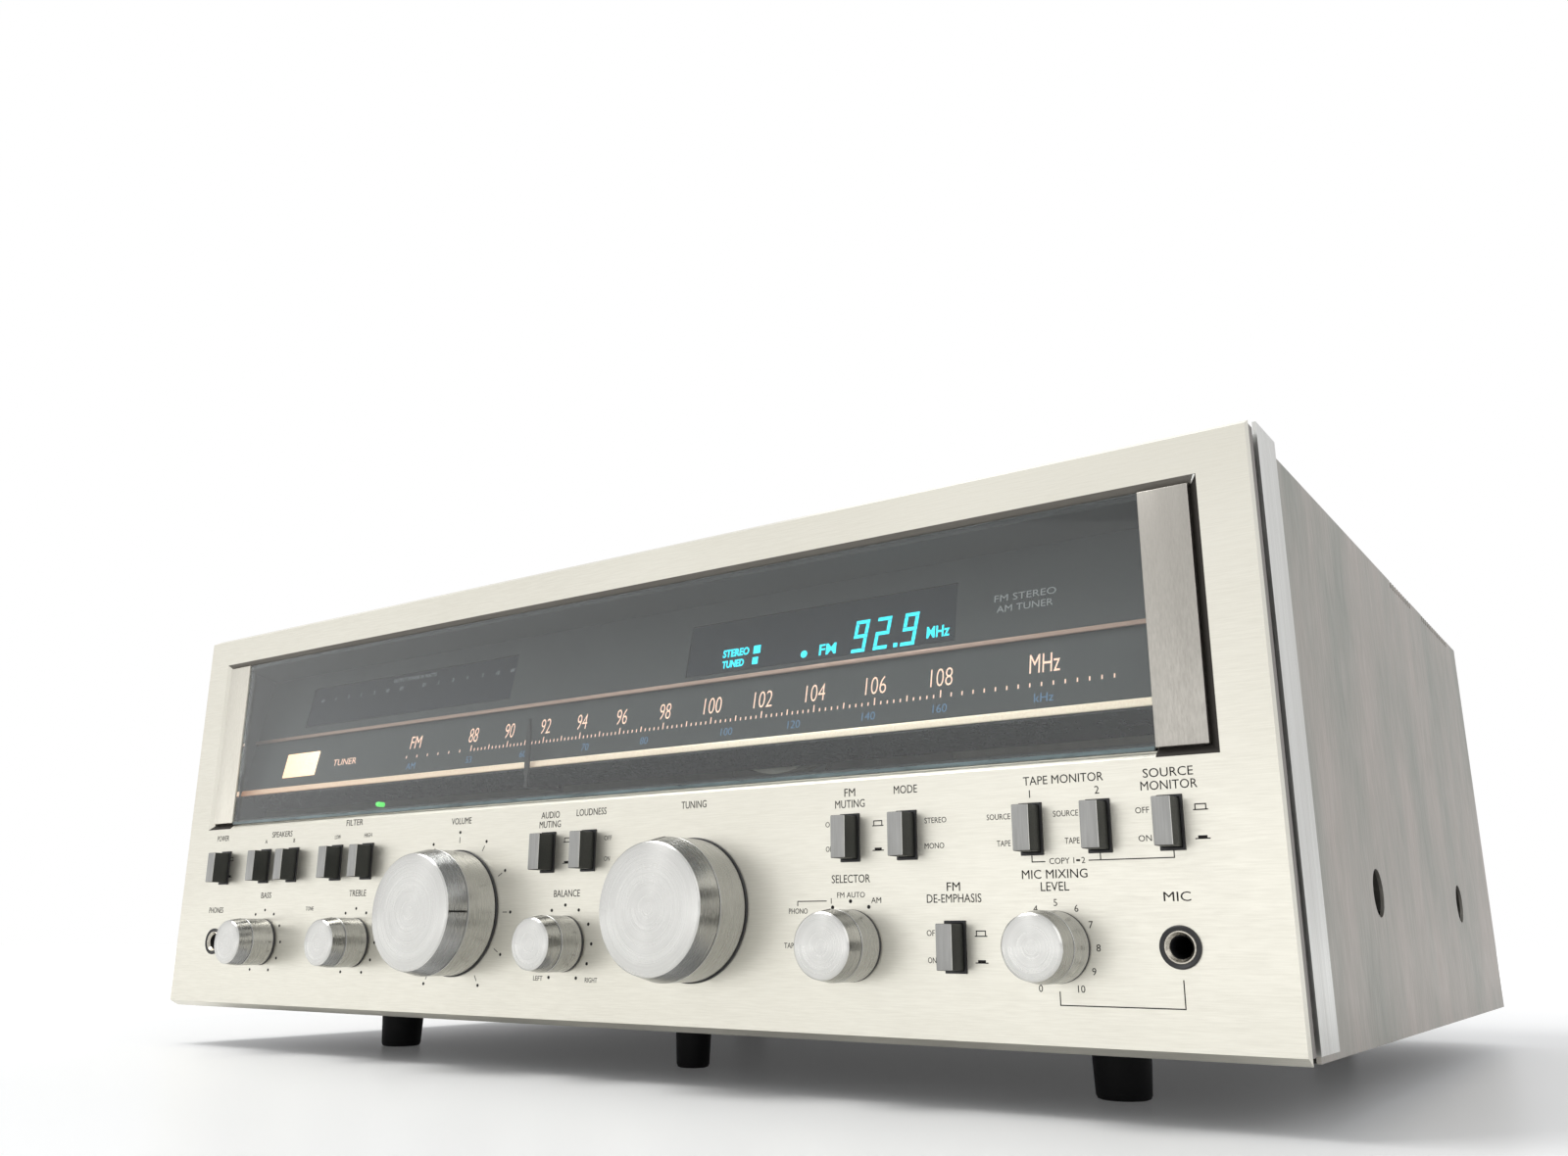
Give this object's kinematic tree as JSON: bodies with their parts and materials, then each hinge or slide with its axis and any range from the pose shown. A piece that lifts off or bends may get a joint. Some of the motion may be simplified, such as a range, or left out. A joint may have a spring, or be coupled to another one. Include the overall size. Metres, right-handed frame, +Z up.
{
  "type": "stereo receiver",
  "caption": "Stereo receiver without its cabinet sleeve: brushed front panel with push buttons, turned knobs and a lit tuning dial on a plated steel chassis.",
  "frame": {"origin": "on the floor under the soles of the feet, in the middle of the overall box", "axes": "+X to the right along the front panel, +Y from the panel to the back, +Z up"},
  "size_m": [0.5256, 0.4226, 0.2],
  "materials": {
    "panel_aluminium": "anodised, brushed along X",
    "rail_aluminium": "anodised extrusion",
    "block_aluminium": "anodised, brushed upright",
    "knob_aluminium": "turned",
    "window_glass": "clear",
    "dial_plastic": "smooth, printed",
    "brass_strip": "satin",
    "display_glass": "smooth",
    "plated_steel": "zinc plated, dull",
    "rear_steel": "satin paint",
    "turned_steel": "turned",
    "switch_metal": "plated, formed",
    "jack_metal": "nickel plated",
    "black_plastic": "moulded",
    "button_plastic": "satin plated cap",
    "white_plastic": "moulded",
    "pointer_plastic": "painted edge",
    "dial_cord": "braided",
    "foot_plastic": "moulded",
    "transformer_iron": "varnished",
    "capacitor_sleeve": "shrink sleeve",
    "black_aluminium": "black anodised",
    "circuit_board": "phenolic laminate"
  },
  "bodies": {
    "chassis": {"front_panel": "panel_aluminium", "end_rails": "rail_aluminium", "window_blocks": "block_aluminium", "dial_glass": "window_glass", "dial_scale_plate": "dial_plastic", "dial_rails": "brass_strip", "frequency_display": "display_glass", "power_display": "display_glass", "inner_front": "plated_steel", "button_frames": "black_plastic", "switch_bodies": "switch_metal", "rotary_controls": "switch_metal", "dial_string": "dial_cord", "front_jacks": "jack_metal", "feet": "foot_plastic", "base_pan": "plated_steel", "side_plate_left": "plated_steel", "side_plate_right": "plated_steel", "top_cover": "plated_steel", "cover_screws": "turned_steel", "rear_panel": "rear_steel", "speaker_terminals": "black_plastic", "phono_sockets": "jack_metal", "antenna_terminals": "black_plastic", "mains_inlet": "black_plastic", "mains_outlets": "black_plastic", "power_transformer": "transformer_iron", "filter_capacitors": "capacitor_sleeve", "heat_sinks": "black_aluminium", "output_transistors": "black_plastic", "main_board": "circuit_board", "tuner_board": "circuit_board", "tone_board": "circuit_board", "tuning_capacitor": "switch_metal"},
    "button_power": {"button_power": "button_plastic"},
    "button_speakers_a": {"button_speakers_a": "button_plastic"},
    "button_speakers_b": {"button_speakers_b": "button_plastic"},
    "button_filter_low": {"button_filter_low": "button_plastic"},
    "button_filter_high": {"button_filter_high": "button_plastic"},
    "button_audio_muting": {"button_audio_muting": "button_plastic"},
    "button_loudness": {"button_loudness": "button_plastic"},
    "button_fm_muting": {"button_fm_muting": "button_plastic"},
    "button_mode": {"button_mode": "button_plastic"},
    "button_tape_monitor_1": {"button_tape_monitor_1": "button_plastic"},
    "button_tape_monitor_2": {"button_tape_monitor_2": "button_plastic"},
    "button_source_monitor": {"button_source_monitor": "button_plastic"},
    "button_de_emphasis": {"button_de_emphasis": "button_plastic"},
    "knob_bass": {"knob_bass": "knob_aluminium"},
    "knob_treble": {"knob_treble": "knob_aluminium"},
    "knob_volume": {"knob_volume": "knob_aluminium"},
    "knob_balance": {"knob_balance": "knob_aluminium"},
    "knob_selector": {"knob_selector": "knob_aluminium"},
    "knob_mic_level": {"knob_mic_level": "knob_aluminium"},
    "tuning_control": {"knob_tuning": "knob_aluminium", "tuning_flywheel": "turned_steel"},
    "dial_drum": {"dial_drum": "white_plastic"},
    "dial_pulley_left": {"dial_pulley_left": "white_plastic"},
    "dial_pulley_right": {"dial_pulley_right": "white_plastic"},
    "dial_pointer": {"dial_pointer": "pointer_plastic"},
    "antenna_bar": {"antenna_bar": "black_plastic"}
  },
  "joints": [
    {"name": "power_push", "type": "slide", "parent": "chassis", "child": "button_power", "axis": [0, 1, 0], "range_m": [0, 0.0035], "stiffness_N_per_m": 200},
    {"name": "speakers_a_push", "type": "slide", "parent": "chassis", "child": "button_speakers_a", "axis": [0, 1, 0], "range_m": [0, 0.0035], "stiffness_N_per_m": 200},
    {"name": "speakers_b_push", "type": "slide", "parent": "chassis", "child": "button_speakers_b", "axis": [0, 1, 0], "range_m": [0, 0.0035], "stiffness_N_per_m": 200},
    {"name": "filter_low_push", "type": "slide", "parent": "chassis", "child": "button_filter_low", "axis": [0, 1, 0], "range_m": [0, 0.0035], "stiffness_N_per_m": 200},
    {"name": "filter_high_push", "type": "slide", "parent": "chassis", "child": "button_filter_high", "axis": [0, 1, 0], "range_m": [0, 0.0035], "stiffness_N_per_m": 200},
    {"name": "audio_muting_push", "type": "slide", "parent": "chassis", "child": "button_audio_muting", "axis": [0, 1, 0], "range_m": [0, 0.0035], "stiffness_N_per_m": 200},
    {"name": "loudness_push", "type": "slide", "parent": "chassis", "child": "button_loudness", "axis": [0, 1, 0], "range_m": [0, 0.0035], "stiffness_N_per_m": 200},
    {"name": "fm_muting_push", "type": "slide", "parent": "chassis", "child": "button_fm_muting", "axis": [0, 1, 0], "range_m": [0, 0.0035], "stiffness_N_per_m": 200},
    {"name": "mode_push", "type": "slide", "parent": "chassis", "child": "button_mode", "axis": [0, 1, 0], "range_m": [0, 0.0035], "stiffness_N_per_m": 200},
    {"name": "tape_monitor_1_push", "type": "slide", "parent": "chassis", "child": "button_tape_monitor_1", "axis": [0, 1, 0], "range_m": [0, 0.0035], "stiffness_N_per_m": 200},
    {"name": "tape_monitor_2_push", "type": "slide", "parent": "chassis", "child": "button_tape_monitor_2", "axis": [0, 1, 0], "range_m": [0, 0.0035], "stiffness_N_per_m": 200},
    {"name": "source_monitor_push", "type": "slide", "parent": "chassis", "child": "button_source_monitor", "axis": [0, 1, 0], "range_m": [0, 0.0035], "stiffness_N_per_m": 200},
    {"name": "de_emphasis_push", "type": "slide", "parent": "chassis", "child": "button_de_emphasis", "axis": [0, 1, 0], "range_m": [0, 0.0035], "stiffness_N_per_m": 200},
    {"name": "bass_turn", "type": "hinge", "parent": "chassis", "child": "knob_bass", "pos_m": [-0.1935, -0.18775, 0.0472], "axis": [0, 1, 0], "range_deg": [-150, 150]},
    {"name": "treble_turn", "type": "hinge", "parent": "chassis", "child": "knob_treble", "pos_m": [-0.1272, -0.18775, 0.0472], "axis": [0, 1, 0], "range_deg": [-150, 150]},
    {"name": "volume_turn", "type": "hinge", "parent": "chassis", "child": "knob_volume", "pos_m": [-0.0639, -0.18775, 0.059], "axis": [0, 1, 0], "range_deg": [-240, 60]},
    {"name": "balance_turn", "type": "hinge", "parent": "chassis", "child": "knob_balance", "pos_m": [-0.0023, -0.18775, 0.0472], "axis": [0, 1, 0], "range_deg": [-150, 150]},
    {"name": "selector_turn", "type": "hinge", "parent": "chassis", "child": "knob_selector", "pos_m": [0.1251, -0.18775, 0.0472], "axis": [0, 1, 0], "range_deg": [-90, 30]},
    {"name": "mic_level_turn", "type": "hinge", "parent": "chassis", "child": "knob_mic_level", "pos_m": [0.1956, -0.18775, 0.0472], "axis": [0, 1, 0], "range_deg": [0, 300]},
    {"name": "tuning_turn", "type": "hinge", "parent": "chassis", "child": "tuning_control", "pos_m": [0.0589, -0.18775, 0.059], "axis": [0, 1, 0], "range_deg": [-630, 2420]},
    {"name": "drum_turn", "type": "hinge", "parent": "chassis", "child": "dial_drum", "pos_m": [0.075, -0.15625, 0.138], "axis": [0, 1, 0], "range_deg": [-105, 398]},
    {"name": "pulley_left_turn", "type": "hinge", "parent": "chassis", "child": "dial_pulley_left", "pos_m": [-0.246, -0.15625, 0.1658], "axis": [0, 1, 0], "range_deg": [-443, 1699]},
    {"name": "pulley_right_turn", "type": "hinge", "parent": "chassis", "child": "dial_pulley_right", "pos_m": [0.246, -0.15625, 0.1658], "axis": [0, 1, 0], "range_deg": [-443, 1699]},
    {"name": "pointer_slide", "type": "slide", "parent": "chassis", "child": "dial_pointer", "axis": [1, 0, 0], "range_m": [-0.0521, 0.1989]},
    {"name": "antenna_swing", "type": "hinge", "parent": "chassis", "child": "antenna_bar", "pos_m": [-0.07, 0.20525, 0.17], "axis": [0, 0, 1], "range_deg": [0, 90]}
  ],
  "couplings": [
    {"joint": "drum_turn", "follows": "tuning_turn", "ratio": 0.16376},
    {"joint": "pulley_left_turn", "follows": "tuning_turn", "ratio": 0.70149},
    {"joint": "pulley_right_turn", "follows": "tuning_turn", "ratio": 0.70149},
    {"joint": "pointer_slide", "follows": "tuning_turn", "m_per_rad": 0.0047}
  ]
}
